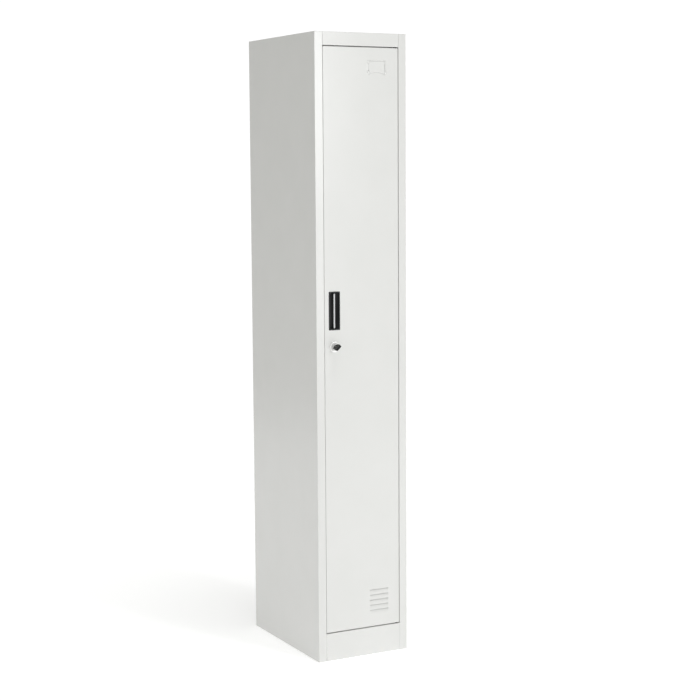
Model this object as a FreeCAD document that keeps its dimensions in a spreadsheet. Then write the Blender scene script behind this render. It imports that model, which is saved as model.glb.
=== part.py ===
import FreeCAD, Part
import math
import os

import Sketcher
from FreeCAD import Placement, Rotation, Vector

# A slim single-door steel locker, in millimetres.
# Frame: the origin is the centre of the footprint on the floor, +X is the viewer's right,
# +Y is the back and +Z is up. The door's face lies in the front plane, y = -depth / 2.

doc = FreeCAD.newDocument("locker")
sizes = doc.addObject("Spreadsheet::Sheet", "sizes")

# ---------------------------------------------------------------------------------------
# Sizes: numbers that remember the sheet expression they came from
# ---------------------------------------------------------------------------------------


def text_of(value):
    """The expression text of a Size, or the plain text of a number."""
    return value.text if isinstance(value, Size) else repr(float(value))


class Size(float):
    """A length whose value is known in Python and whose expression is known to the sheet."""

    def __new__(cls, value, text):
        size = super().__new__(cls, value)
        size.text = text
        return size

    def __add__(self, other):
        return Size(float(self) + float(other), f"({self.text} + {text_of(other)})")

    def __radd__(self, other):
        return Size(float(other) + float(self), f"({text_of(other)} + {self.text})")

    def __sub__(self, other):
        return Size(float(self) - float(other), f"({self.text} - {text_of(other)})")

    def __rsub__(self, other):
        return Size(float(other) - float(self), f"({text_of(other)} - {self.text})")

    def __mul__(self, other):
        return Size(float(self) * float(other), f"({self.text} * {text_of(other)})")

    def __rmul__(self, other):
        return Size(float(other) * float(self), f"({text_of(other)} * {self.text})")

    def __truediv__(self, other):
        return Size(float(self) / float(other), f"({self.text} / {text_of(other)})")

    def __neg__(self):
        return Size(-float(self), f"(0 - {self.text})")


rows_used = 0


def size(alias, value):
    """Puts a plain number in the next row of the sheet, under an alias, and returns it."""
    global rows_used
    rows_used += 1
    sizes.set(f"A{rows_used}", alias)
    sizes.set(f"B{rows_used}", str(value))
    sizes.setAlias(f"B{rows_used}", alias)
    return Size(value, f"sizes.{alias}")


# Carcass
width = size("width", 300)
depth = size("depth", 450)
height = size("height", 1850)
sheet = size("sheet", 0.8)
bend = size("bend_radius", 0.7)
stile_width = size("stile_width", 25)
frame_depth = size("frame_depth", 21.6)
stop_lip = size("stop_lip", 13)
rear_flange = size("rear_flange", 15)
floor_flange = size("floor_flange", 25)
rail_height = size("rail_height", 38.5)
plinth_height = size("plinth_height", 83.3)
fit_slack = size("fit_slack", 0.2)

# Interior
shelf_top = size("shelf_top", 1520)
shelf_rim = size("shelf_rim", 20)
shelf_front = size("shelf_front", 30)
bar_radius = size("bar_radius", 9.5)
bar_wall = size("bar_wall", 1.2)
bar_drop = size("bar_drop", 68)

# Door
door_clearance = size("door_clearance", 2)
end_clearance = size("end_clearance", 3)
door_depth = size("door_depth", 18)
door_return = size("door_return", 12)
pivot_from_edge = size("pivot_from_edge", 8)
pivot_from_face = size("pivot_from_face", 5)
pin_radius = size("pin_radius", 2.5)
pin_play = size("pin_play", 0.05)
bush_radius = size("bush_radius", 3.8)
bush_flange = size("bush_flange", 4.6)

# Pull handle
handle_x = size("handle_x", -91.8)
handle_z = size("handle_z", 1047.5)
handle_width = size("handle_width", 36.7)
handle_height = size("handle_height", 112.8)
bezel_rim = size("bezel_rim", 2.25)
cup_wall = size("cup_wall", 1.6)
cup_depth = size("cup_depth", 16)

# Lock and key
lock_x = size("lock_x", -92)
lock_z = size("lock_z", 942)
lock_face_radius = size("lock_face_radius", 16)
lock_proud = size("lock_proud", 2.8)
barrel_radius = size("barrel_radius", 9.3)
barrel_length = size("barrel_length", 23)
plug_radius = size("plug_radius", 7)
cam_length = size("cam_length", 26)
cam_width = size("cam_width", 15)
cam_thick = size("cam_thick", 2)
key_width = size("key_width", 8)
key_thick = size("key_thick", 2)
head_width = size("head_width", 19)
head_length = size("head_length", 25)
head_thick = size("head_thick", 7)
key_angle = size("key_angle", 45)

# Pressed features of the door
card_x = size("card_x", 52.2)
card_z = size("card_z", 1752)
card_width = size("card_width", 53.2)
card_height = size("card_height", 38)
card_slit = size("card_slit", 25)
card_ear = size("card_ear", 9)
vent_x = size("vent_x", 53.7)
vent_bottom = size("vent_bottom", 135.8)
vent_pitch = size("vent_pitch", 15.6)
vent_length = size("vent_length", 63)
vent_height = size("vent_height", 11)
vent_depth = size("vent_depth", 2.4)
VENT_COUNT = 5

# Places worked out from the sizes above
left = -1
right = 1
half_width = width / 2
front = -depth / 2
back = depth / 2
opening_half = half_width - stile_width
frame_back = front + frame_depth
stop_front = frame_back - sheet
rail_bottom = height - rail_height
wall_top = height - sheet
floor_z = 0 * height
centre = 0 * width

door_half = opening_half - door_clearance
door_bottom = plinth_height + end_clearance
door_top = rail_bottom - end_clearance
door_back = front + door_depth
skin_back = front + sheet
pivot_x = door_half - pivot_from_edge
pivot_y = front + pivot_from_face

lock_front = front - lock_proud
barrel_back = front + barrel_length
cam_front = barrel_back + 2 * fit_slack
cam_back = cam_front + cam_thick

# ---------------------------------------------------------------------------------------
# Sketches and PartDesign features
# ---------------------------------------------------------------------------------------


def bind(item, path, value):
    """Binds a property to the sheet when its value is a Size."""
    if isinstance(value, Size):
        item.setExpression(path, value.text)


def new_body(label):
    body = doc.addObject("PartDesign::Body", label)
    body.Label = label
    return body


def sketch_on(body, role, offset=0.0):
    """A sketch on one of the body's own planes, moved along that plane's normal.

    XY_Plane looks along +Z with axes X and Y, XZ_Plane's normal is -Y with axes X and Z,
    and YZ_Plane's normal is +X with axes Y and Z.
    """
    plane = next(item for item in body.Origin.OriginFeatures if item.Role == role)
    sketch = body.newObject("Sketcher::SketchObject", body.Label + "_sketch")
    sketch.AttachmentSupport = [(plane, "")]
    sketch.MapMode = "FlatFace"
    sketch.AttachmentOffset = Placement(Vector(0, 0, float(offset)), Rotation())
    bind(sketch, "AttachmentOffset.Base.z", offset)
    return sketch


def pin_point(sketch, geometry, end, across, up):
    """Fixes one end of a curve by its two distances from the sketch's origin."""
    for kind, value in (("DistanceX", across), ("DistanceY", up)):
        index = sketch.addConstraint(Sketcher.Constraint(kind, -1, 1, geometry, end, float(value)))
        bind(sketch, f"Constraints[{index}]", value)


def outline(sketch, points):
    """A closed polygon whose corners are bound to the sheet."""
    corners = [Vector(float(across), float(up), 0) for across, up in points]
    first = sketch.GeometryCount
    for index, corner in enumerate(corners):
        following = corners[(index + 1) % len(corners)]
        sketch.addGeometry(Part.LineSegment(corner, following), False)
    for index, (across, up) in enumerate(points):
        previous = first + (index - 1) % len(points)
        sketch.addConstraint(Sketcher.Constraint("Coincident", previous, 2, first + index, 1))
        pin_point(sketch, first + index, 1, across, up)


def rectangle(sketch, low, high):
    """A rectangle between two opposite corners."""
    outline(sketch, [low, (high[0], low[1]), high, (low[0], high[1])])


def circle(sketch, across, up, radius):
    curve = Part.Circle(Vector(float(across), float(up), 0), Vector(0, 0, 1), float(radius))
    index = sketch.addGeometry(curve, False)
    pin_point(sketch, index, 3, across, up)
    limit = sketch.addConstraint(Sketcher.Constraint("Radius", index, float(radius)))
    bind(sketch, f"Constraints[{limit}]", radius)


def pad(body, sketch, length, reverse=False, midplane=False):
    feature = body.newObject("PartDesign::Pad", body.Label + "_pad")
    feature.Profile = sketch
    feature.Length = float(length)
    bind(feature, "Length", length)
    feature.Reversed = reverse
    feature.Midplane = midplane
    doc.recompute()
    return feature


def pocket(body, sketch, length, reverse=False):
    """Cuts along the sketch's normal reversed (or along it when reverse is set)."""
    before = body.Shape.Volume
    feature = body.newObject("PartDesign::Pocket", body.Label + "_pocket")
    feature.Profile = sketch
    feature.Length = float(length)
    bind(feature, "Length", length)
    feature.Reversed = reverse
    doc.recompute()
    if body.Shape.Volume >= before:
        raise RuntimeError(f"a pocket of {body.Label} cuts nothing")
    return feature


def slab(body, role, offset, length, low, high, reverse=False):
    """Pads a rectangle of a plane from offset, along the plane's normal."""
    sketch = sketch_on(body, role, offset)
    rectangle(sketch, low, high)
    return pad(body, sketch, length, reverse)


def plate_z(body, bottom, thickness, low, high):
    """A flat plate lying in XY, from bottom up."""
    return slab(body, "XY_Plane", bottom, thickness, low, high)


def plate_y(body, face, thickness, low, high):
    """An upright plate facing -Y, from its front face backwards; corners are (x, z)."""
    return slab(body, "XZ_Plane", -face, thickness, low, high, reverse=True)


def plate_x(body, face, thickness, low, high):
    """An upright plate facing -X, from its left face rightwards; corners are (y, z)."""
    return slab(body, "YZ_Plane", face, thickness, low, high)


def holes_down(body, top, through, places, radius):
    """Round holes cut downwards from a level; places are (x, y)."""
    sketch = sketch_on(body, "XY_Plane", top)
    for across, along in places:
        circle(sketch, across, along, radius)
    return pocket(body, sketch, through)


def holes_back(body, face, through, places, radius):
    """Round holes cut backwards, along +Y, from a face; places are (x, z)."""
    sketch = sketch_on(body, "XZ_Plane", -face)
    for across, up in places:
        circle(sketch, across, up, radius)
    return pocket(body, sketch, through)


def round_edges(body, radius, chosen):
    """Rounds the edges of the body's tip for which chosen(first_end, last_end) is true."""
    tip = body.Tip
    names = []
    for number, edge in enumerate(tip.Shape.Edges, 1):
        ends = [vertex.Point for vertex in edge.Vertexes]
        if len(ends) == 2 and chosen(ends[0], ends[1]):
            names.append(f"Edge{number}")
    if not names:
        raise RuntimeError(f"no edge to round on {body.Label}")
    feature = body.newObject("PartDesign::Fillet", body.Label + "_fillet")
    feature.Base = (tip, names)
    feature.Radius = float(radius)
    bind(feature, "Radius", radius)
    doc.recompute()
    return feature


def close(first, second):
    return abs(float(first) - float(second)) < 0.001


def along_z_at(*places):
    """Chooses edges that run along Z at one of the (x, y) places."""

    def chosen(first, last):
        upright = close(first.x, last.x) and close(first.y, last.y)
        return upright and any(close(first.x, x) and close(first.y, y) for x, y in places)

    return chosen


def along_x_at(*places):
    """Chooses edges that run along X at one of the (y, z) places."""

    def chosen(first, last):
        level = close(first.y, last.y) and close(first.z, last.z)
        return level and any(close(first.y, y) and close(first.z, z) for y, z in places)

    return chosen


def along_y_at(*places):
    """Chooses edges that run along Y at one of the (x, z) places."""

    def chosen(first, last):
        straight = close(first.x, last.x) and close(first.z, last.z)
        return straight and any(close(first.x, x) and close(first.z, z) for x, z in places)

    return chosen


# ---------------------------------------------------------------------------------------
# Turned pieces: stacked Part cylinders
# ---------------------------------------------------------------------------------------

UP = Rotation()
DOWN = Rotation(Vector(1, 0, 0), 180)
TO_BACK = Rotation(Vector(1, 0, 0), -90)
TO_FRONT = Rotation(Vector(1, 0, 0), 90)
TO_RIGHT = Rotation(Vector(0, 1, 0), 90)


def cylinder(name, radius, length, place, rotation, start=0.0):
    """A cylinder from start to start + length along the rotated Z, measured from place."""
    shape = doc.addObject("Part::Cylinder", name)
    shape.Radius = float(radius)
    shape.Height = float(length)
    bind(shape, "Radius", radius)
    bind(shape, "Height", length)
    direction = rotation.multVec(Vector(0, 0, 1))
    base = Vector(*(float(value) for value in place)) + direction * float(start)
    shape.Placement = Placement(base, rotation)
    for axis, origin, part in zip("xyz", place, direction):
        share = round(part)
        bind(shape, f"Placement.Base.{axis}", origin + share * start if share else origin)
    return shape


def turned(name, place, rotation, steps):
    """A turned piece: (radius, length) steps stacked along the rotated Z from place."""
    rounds = []
    start = 0.0
    for radius, length in steps:
        rounds.append(cylinder(name + "_step", radius, length, place, rotation, start))
        start = start + length
    if len(rounds) == 1:
        rounds[0].Label = name
        return rounds[0]
    whole = doc.addObject("Part::MultiFuse", name)
    whole.Shapes = rounds
    whole.Refine = False
    return whole


def group(label, pieces):
    """Several identical solids as one node."""
    whole = doc.addObject("Part::Compound", label)
    whole.Links = pieces
    whole.Label = label
    return whole


def bored(label, blank, radius, length, place, rotation):
    """A turned blank with a round bore."""
    tool = cylinder(label + "_bore", radius, length, place, rotation)
    whole = doc.addObject("Part::Cut", label)
    whole.Base = blank
    whole.Tool = tool
    whole.Label = label
    return whole


# ---------------------------------------------------------------------------------------
# Carcass
# ---------------------------------------------------------------------------------------

FIXING_ALONG = 150
FIXING_RADIUS = 4.5
WALL_HOLE_ACROSS = 75
WALL_HOLE_DROP = 100
WALL_HOLE_RADIUS = 4
RIVET_RADIUS = 1.6
RIVET_ROWS = 6
rivet_margin = size("rivet_margin", 7.5)
rivet_first = size("rivet_first", 60)
rivet_last = size("rivet_last", 1790)
fixing_x = half_width - floor_flange / 2


def side_panel(label, side):
    """One folded side: wall, front stile, return, stop lip and its three flanges."""
    body = new_body(label)
    wall = side * half_width
    wall_inside = side * (half_width - sheet)
    return_face = side * opening_half
    return_inside = side * (opening_half + sheet)
    flange_tip = side * (half_width - rear_flange)
    section = sketch_on(body, "XY_Plane")
    outline(section, [
        (flange_tip, back), (wall, back), (wall, front), (return_face, front),
        (return_face, frame_back), (return_inside, frame_back),
        (return_inside, front + sheet), (wall_inside, front + sheet),
        (wall_inside, back - sheet), (flange_tip, back - sheet),
    ])
    pad(body, section, wall_top)
    round_edges(body, bend, along_z_at((wall, front), (return_face, front), (wall, back)))
    lip_tip = side * (opening_half - stop_lip)
    lip_bottom = plinth_height + sheet + fit_slack
    lip_top = rail_bottom - fit_slack
    plate_y(body, stop_front, sheet, (lip_tip, lip_bottom), (return_face, lip_top))
    inner_y = frame_back + fit_slack
    rear_y = back - 2 * sheet - fit_slack
    plate_z(body, wall_top - sheet, sheet, (wall_inside, inner_y), (flange_tip, rear_y))
    floor_tip = side * (half_width - floor_flange)
    plate_z(body, floor_z, sheet, (wall_inside, inner_y), (floor_tip, rear_y))
    places = [(side * fixing_x, -FIXING_ALONG), (side * fixing_x, FIXING_ALONG)]
    holes_down(body, sheet, sheet, places, FIXING_RADIUS)
    holes_back(body, back - sheet, sheet, rivet_places(side), RIVET_RADIUS)
    return body


def rivet_places(side):
    """Where the back panel is riveted to one side's rear flange, as (x, z)."""
    across = side * (half_width - rivet_margin)
    pitch = (rivet_last - rivet_first) / (RIVET_ROWS - 1)
    return [(across, rivet_first + row * pitch) for row in range(RIVET_ROWS)]


def back_panel():
    """The flat back, in front of the sides' rear flanges, with a foot and a head flange."""
    body = new_body("back_panel")
    reach = half_width - sheet - fit_slack
    plate_y(body, back - 2 * sheet, sheet, (-reach, floor_z), (reach, wall_top))
    tip = opening_half - fit_slack
    flange_front = back - rear_flange
    flange_back = back - sheet
    plate_z(body, floor_z, sheet, (-tip, flange_front), (tip, flange_back))
    plate_z(body, wall_top - sheet, sheet, (-tip, flange_front), (tip, flange_back))
    fixing_z = height - WALL_HOLE_DROP
    wall_holes = [(-WALL_HOLE_ACROSS, fixing_z), (WALL_HOLE_ACROSS, fixing_z)]
    holes_back(body, back - 2 * sheet, sheet, wall_holes, WALL_HOLE_RADIUS)
    for side in (left, right):
        holes_back(body, back - 2 * sheet, sheet, rivet_places(side), RIVET_RADIUS)
    return body


def top_panel():
    """The roof, its front rail between the stiles, the door stop and the rear flange."""
    body = new_body("top_panel")
    reach = opening_half - fit_slack
    plate_z(body, wall_top, sheet, (-half_width, front), (half_width, back))
    section = sketch_on(body, "YZ_Plane")
    outline(section, [
        (front, height), (front, rail_bottom), (frame_back, rail_bottom),
        (frame_back, rail_bottom + sheet), (front + sheet, rail_bottom + sheet),
        (front + sheet, height),
    ])
    pad(body, section, 2 * reach, midplane=True)
    round_edges(body, bend, along_x_at((front, rail_bottom), (front, height)))
    stop_reach = opening_half - stop_lip - fit_slack
    stop_bottom = rail_bottom - stop_lip
    plate_y(body, stop_front, sheet, (-stop_reach, stop_bottom), (stop_reach, rail_bottom + sheet))
    flange_reach = half_width - rear_flange - fit_slack
    plate_y(body, back - sheet, sheet, (-flange_reach, height - shelf_rim), (flange_reach, height))
    notch = sketch_on(body, "XY_Plane", height)
    for side in (left, right):
        rectangle(notch, (side * reach, front - sheet), (side * (reach + 2 * sheet), front + 4 * sheet))
    pocket(body, notch, sheet)
    holes_down(body, rail_bottom + sheet, sheet, [(pivot_x, pivot_y)], pin_radius + pin_play)
    return body


def plinth():
    """The kick plate under the door, folded back at its top and at the floor."""
    body = new_body("plinth")
    fold_back = front + floor_flange
    section = sketch_on(body, "YZ_Plane")
    outline(section, [
        (front, floor_z), (fold_back, floor_z), (fold_back, sheet), (front + sheet, sheet),
        (front + sheet, plinth_height - sheet), (fold_back, plinth_height - sheet),
        (fold_back, plinth_height), (front, plinth_height),
    ])
    pad(body, section, 2 * (opening_half - fit_slack), midplane=True)
    round_edges(body, bend, along_x_at((front, floor_z), (front, plinth_height)))
    holes_down(body, plinth_height, sheet, [(pivot_x, pivot_y)], pin_radius + pin_play)
    return body


def bottom_panel():
    """The floor of the compartment, with the lower door stop and three skirts."""
    body = new_body("bottom_panel")
    reach = half_width - sheet - fit_slack
    rear_y = back - 2 * sheet - fit_slack
    inner_y = frame_back + fit_slack
    skirt_bottom = plinth_height + sheet - shelf_rim
    skirt_top = plinth_height + sheet
    plate_z(body, plinth_height, sheet, (-reach, inner_y), (reach, rear_y))
    stop_reach = opening_half - stop_lip - fit_slack
    plate_z(body, plinth_height, sheet, (-stop_reach, stop_front), (stop_reach, inner_y))
    stop_top = plinth_height + stop_lip
    plate_y(body, stop_front, sheet, (-stop_reach, plinth_height), (stop_reach, stop_top))
    skirt_front = front + floor_flange + fit_slack
    for skirt_x in (-reach, reach - sheet):
        plate_x(body, skirt_x, sheet, (skirt_front, skirt_bottom), (rear_y, skirt_top))
    plate_y(body, rear_y - sheet, sheet, (-reach, skirt_bottom), (reach, skirt_top))
    return body


# ---------------------------------------------------------------------------------------
# Interior
# ---------------------------------------------------------------------------------------

shelf_bottom = shelf_top - shelf_rim
shelf_reach = half_width - sheet - 2 * fit_slack
shelf_front_y = front + shelf_front
shelf_back_y = back - 2 * sheet - 2 * fit_slack
bar_z = shelf_top - bar_drop
bar_y = 5
BRACKET_THICK = 1.2
BRACKET_HALF = 15
SOCKET_LENGTH = 10
SOCKET_WALL = 2
BRACKET_RIVET_IN = 17
BRACKET_RIVET_ALONG = 8
HEAD_RADIUS = 3.2
HEAD_THICK = 1.2
BULB_RADIUS = 2.4
BULB_LENGTH = 2.5
bracket_x = shelf_reach - rear_flange - 1


def bracket_rivets(side):
    """Where one rail bracket is riveted to the shelf, as (x, y)."""
    across = side * (bracket_x - BRACKET_RIVET_IN)
    return [(across, bar_y - BRACKET_RIVET_ALONG), (across, bar_y + BRACKET_RIVET_ALONG)]


def hat_shelf():
    """The shelf: a shallow tray turned upside down."""
    body = new_body("hat_shelf")
    plate_z(body, shelf_bottom, shelf_rim, (-shelf_reach, shelf_front_y), (shelf_reach, shelf_back_y))
    hollow = sketch_on(body, "XY_Plane", shelf_bottom)
    inside = shelf_reach - sheet
    rectangle(hollow, (-inside, shelf_front_y + sheet), (inside, shelf_back_y - sheet))
    pocket(body, hollow, shelf_rim - sheet, reverse=True)
    top_edges = along_x_at((shelf_front_y, shelf_top), (shelf_back_y, shelf_top))
    round_edges(body, bend, top_edges)
    for side in (left, right):
        holes_down(body, shelf_top, sheet, bracket_rivets(side), RIVET_RADIUS)
    return body


def shelf_support(label, side):
    """An angle that is welded to the side wall and carries the shelf's rim."""
    body = new_body(label)
    ends = (front + 4 * frame_depth, back - 3 * rear_flange)
    wall_inside = half_width - sheet
    leg = BRACKET_THICK
    section = sketch_on(body, "XZ_Plane", -ends[0])
    outline(section, [
        (side * wall_inside, shelf_bottom - shelf_rim), (side * wall_inside, shelf_bottom),
        (side * (wall_inside - rear_flange), shelf_bottom),
        (side * (wall_inside - rear_flange), shelf_bottom - leg),
        (side * (wall_inside - leg), shelf_bottom - leg),
        (side * (wall_inside - leg), shelf_bottom - shelf_rim),
    ])
    pad(body, section, ends[1] - ends[0], reverse=True)
    return body


def rail_bracket(label, side):
    """A drop bracket under the shelf with a socket for one end of the coat rail."""
    body = new_body(label)
    outer = side * bracket_x
    inner = side * (bracket_x - BRACKET_THICK)
    plate_top = shelf_top - sheet
    tip = side * (bracket_x - floor_flange)
    flange_low = (outer, bar_y - BRACKET_HALF)
    plate_z(body, plate_top - BRACKET_THICK, BRACKET_THICK, flange_low, (tip, bar_y + BRACKET_HALF))
    drop = sketch_on(body, "YZ_Plane", outer)
    drop_bottom = bar_z - bar_radius - 2 * SOCKET_WALL
    rectangle(drop, (bar_y - BRACKET_HALF, drop_bottom), (bar_y + BRACKET_HALF, plate_top))
    pad(body, drop, BRACKET_THICK, reverse=side == right)
    ring = sketch_on(body, "YZ_Plane", inner)
    circle(ring, bar_y, bar_z, bar_radius + SOCKET_WALL)
    circle(ring, bar_y, bar_z, bar_radius + pin_play)
    pad(body, ring, SOCKET_LENGTH, reverse=side == right)
    holes_down(body, plate_top, BRACKET_THICK, bracket_rivets(side), RIVET_RADIUS)
    return body


def coat_rail():
    """The round steel tube between the two brackets."""
    reach = bracket_x - BRACKET_THICK - fit_slack
    place = (-reach, bar_y + centre, bar_z)
    blank = turned("coat_rail_blank", place, TO_RIGHT, [(bar_radius, 2 * reach)])
    return bored("coat_rail", blank, bar_radius - bar_wall, 2 * reach, place, TO_RIGHT)


def rivet(name, place, rotation, grip):
    """A blind rivet: head outside, shank through the sheets and the set bulb behind."""
    return turned(name, place, rotation, [
        (HEAD_RADIUS, HEAD_THICK), (RIVET_RADIUS, grip), (BULB_RADIUS, BULB_LENGTH),
    ])


def rail_bracket_rivets():
    pieces = []
    for side in (left, right):
        for across, along in bracket_rivets(side):
            place = (across, along + centre, shelf_top + HEAD_THICK)
            pieces.append(rivet("rail_rivet", place, DOWN, sheet + BRACKET_THICK))
    return group("rail_bracket_rivets", pieces)


def back_panel_rivets():
    pieces = []
    for side in (left, right):
        for across, up in rivet_places(side):
            place = (across, back + HEAD_THICK, up)
            pieces.append(rivet("back_rivet", place, TO_FRONT, 2 * sheet))
    return group("back_panel_rivets", pieces)


BUFFER_RADIUS = 4
BUFFER_HEIGHTS = (300, 1250, 1600)


def door_buffers():
    """Rubber dots on the latch side's lip, just short of the closed door."""
    pieces = []
    thickness = stop_front - door_back - 2 * fit_slack
    for up in BUFFER_HEIGHTS:
        place = (-opening_half + stop_lip / 2 + sheet, stop_front, up + floor_z)
        pieces.append(turned("buffer", place, TO_FRONT, [(BUFFER_RADIUS, thickness)]))
    return group("door_buffers", pieces)


# ---------------------------------------------------------------------------------------
# Door pivots
# ---------------------------------------------------------------------------------------

PIN_HEAD_RADIUS = 4.0
PIN_HEAD_THICK = 1.5
PIN_REACH = 12
SLEEVE_LENGTH = 8
thrust_gap = 2 * fit_slack
thrust_flange = end_clearance - thrust_gap


def pivot_pin(label, level, rotation):
    """A headed pin riveted in the frame's fold; it points into the door."""
    whole = turned(label, (pivot_x, pivot_y, level), rotation, [
        (PIN_HEAD_RADIUS, PIN_HEAD_THICK), (pin_radius, sheet + PIN_REACH),
    ])
    whole.Label = label
    return whole


def pivot_bush(label, level, rotation):
    """A flanged nylon bush in the door's end flange; its flange is the thrust washer."""
    place = (pivot_x, pivot_y, level)
    blank = turned(label + "_blank", place, rotation, [
        (bush_flange, thrust_flange), (bush_radius, SLEEVE_LENGTH),
    ])
    length = thrust_flange + SLEEVE_LENGTH
    return bored(label, blank, pin_radius + pin_play, length, place, rotation)


# ---------------------------------------------------------------------------------------
# Door
# ---------------------------------------------------------------------------------------

CARD_SLIT_WIDTH = 1.0
CARD_EAR_PROUD = 1.0


def door_panel():
    """The door's folded skin with its openings, card holder and louvres."""
    body = new_body("door_panel")
    low = (-door_half, door_bottom)
    high = (door_half, door_top)
    plate_y(body, front, door_depth, low, high)
    pan = sketch_on(body, "XZ_Plane", -door_back)
    inner_low = (-door_half + sheet, door_bottom + sheet)
    inner_high = (door_half - sheet, door_top - sheet)
    rectangle(pan, inner_low, inner_high)
    pocket(body, pan, door_depth - sheet, reverse=True)
    side_edges = along_z_at((-door_half, front), (door_half, front))
    round_edges(body, bend, side_edges)
    for side in (left, right):
        tip = side * (door_half - door_return)
        wall = side * (door_half - sheet)
        plate_y(body, door_back - sheet, sheet, (tip, inner_low[1]), (wall, inner_high[1]))
    cut_handle_and_lock(body)
    press_louvres(body)
    press_card_holder(body)
    for level in (door_top, door_bottom + sheet):
        holes_down(body, level, sheet, [(pivot_x, pivot_y)], bush_radius)
    return body


def cut_handle_and_lock(body):
    opening = sketch_on(body, "XZ_Plane", -front)
    across = handle_width / 2 - bezel_rim
    up = handle_height / 2 - bezel_rim
    rectangle(opening, (handle_x - across, handle_z - up), (handle_x + across, handle_z + up))
    circle(opening, lock_x, lock_z, barrel_radius)
    pocket(body, opening, sheet)


def press_louvres(body):
    """Five louvres: below each slit a tongue slopes outwards to the skin, closed at its ends."""
    low_x = vent_x - vent_length / 2
    high_x = vent_x + vent_length / 2
    deep = front + vent_depth
    windows = sketch_on(body, "XZ_Plane", -front)
    tongues = sketch_on(body, "YZ_Plane", low_x)
    left_ends = sketch_on(body, "YZ_Plane", low_x)
    right_ends = sketch_on(body, "YZ_Plane", high_x - sheet)
    for row in range(VENT_COUNT):
        slit = vent_bottom + row * vent_pitch
        root = slit - vent_height
        rectangle(windows, (low_x, root), (high_x, slit))
        outline(tongues, [
            (front, root - sheet), (front, root), (deep, slit), (deep + sheet, slit),
            (skin_back, root), (skin_back, root - sheet),
        ])
        for ends in (left_ends, right_ends):
            outline(ends, [
                (front, root - sheet), (front, slit), (deep + sheet, slit),
                (skin_back, root), (skin_back, root - sheet),
            ])
    pocket(body, windows, sheet)
    pad(body, tongues, vent_length)
    pad(body, left_ends, sheet)
    pad(body, right_ends, sheet)


def press_card_holder(body):
    """Two slits and four raised ears that hold a name card."""
    half = card_width / 2
    rise = card_height / 2
    reach = card_slit / 2
    slits = sketch_on(body, "XZ_Plane", -front)
    ears = sketch_on(body, "XZ_Plane", -front)
    for side in (left, right):
        edge = card_x + side * half
        slit_edge = edge + side * CARD_SLIT_WIDTH
        rectangle(slits, (edge, card_z - reach), (slit_edge, card_z + reach))
        for end in (-1, 1):
            low = (slit_edge, card_z + end * (rise - card_ear))
            high = (edge + side * card_ear, card_z + end * rise)
            rectangle(ears, low, high)
    pocket(body, slits, sheet)
    pad(body, ears, CARD_EAR_PROUD)


STIFFENER_HALF = 20
STIFFENER_FOOT = 8
STIFFENER_DEPTH = 11
stiffener_x = size("stiffener_x", -20)
stiffener_gap = size("stiffener_gap", 25)


def door_stiffener():
    """A hat channel welded up the inside of the skin."""
    body = new_body("door_stiffener")
    crown = skin_back + STIFFENER_DEPTH
    web = STIFFENER_HALF
    foot = STIFFENER_HALF + STIFFENER_FOOT
    section = sketch_on(body, "XY_Plane", door_bottom + stiffener_gap)
    outline(section, [
        (stiffener_x - foot, skin_back), (stiffener_x - web + sheet, skin_back),
        (stiffener_x - web + sheet, crown - sheet), (stiffener_x + web - sheet, crown - sheet),
        (stiffener_x + web - sheet, skin_back), (stiffener_x + foot, skin_back),
        (stiffener_x + foot, skin_back + sheet), (stiffener_x + web, skin_back + sheet),
        (stiffener_x + web, crown), (stiffener_x - web, crown),
        (stiffener_x - web, skin_back + sheet), (stiffener_x - foot, skin_back + sheet),
    ])
    pad(body, section, door_top - door_bottom - 2 * stiffener_gap)
    return body


# ---------------------------------------------------------------------------------------
# Pull handle
# ---------------------------------------------------------------------------------------

BEZEL_PROUD = 1.2
GRIP_PROUD = 0.6
GRIP_THICK = 4.0
GRIP_EDGE = 1.25
STRIP_PROUD = 0.6
STRIP_WIDTH = 5
STRIP_MARGIN = 6
GRIP_INSET = 14
BEZEL_BORDER = 3.6
bezel_front = front - BEZEL_PROUD
grip_front = bezel_front - GRIP_PROUD
cup_back = front + cup_depth
handle_left = handle_x - handle_width / 2
handle_right = handle_x + handle_width / 2
handle_low = handle_z - handle_height / 2
handle_high = handle_z + handle_height / 2
grip_left = handle_left + GRIP_INSET
pocket_left = handle_left + BEZEL_BORDER
pocket_right = handle_right - BEZEL_BORDER
pocket_low = handle_low + BEZEL_BORDER
pocket_high = handle_high - BEZEL_BORDER


def handle_cup():
    """The black cup behind the door's opening, with the bezel that covers its edge."""
    body = new_body("handle_cup")
    plate_y(body, bezel_front, BEZEL_PROUD, (handle_left, handle_low), (handle_right, handle_high))
    body_low = (handle_left + bezel_rim, handle_low + bezel_rim)
    body_high = (handle_right - bezel_rim, handle_high - bezel_rim)
    plate_y(body, front, cup_depth, body_low, body_high)
    corners = along_y_at(*[
        (across, up) for across in (handle_left, handle_right) for up in (handle_low, handle_high)
    ])
    round_edges(body, bezel_rim, corners)
    cavity = sketch_on(body, "XZ_Plane", -bezel_front)
    rectangle(cavity, (pocket_left, pocket_low), (pocket_right, pocket_high))
    pocket(body, cavity, BEZEL_PROUD + cup_depth - cup_wall)
    return body


def handle_grip():
    """The bar that the fingers curl behind; it bridges the right side of the cup."""
    body = new_body("handle_grip")
    plate_y(body, grip_front, GRIP_THICK, (grip_left, pocket_low), (pocket_right, pocket_high))
    edges = along_z_at((grip_left, grip_front), (grip_left, grip_front + GRIP_THICK))
    round_edges(body, GRIP_EDGE, edges)
    return body


def handle_strip():
    """The bright trim strip along the grip's free edge."""
    body = new_body("handle_strip")
    strip_left = grip_left + sheet
    low = (strip_left, handle_low + STRIP_MARGIN)
    high = (strip_left + STRIP_WIDTH, handle_high - STRIP_MARGIN)
    plate_y(body, grip_front - STRIP_PROUD, STRIP_PROUD, low, high)
    return body


CLIP_HALF = 5
CLIP_REACH = 8
CLIP_THICK = 1.0


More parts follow.
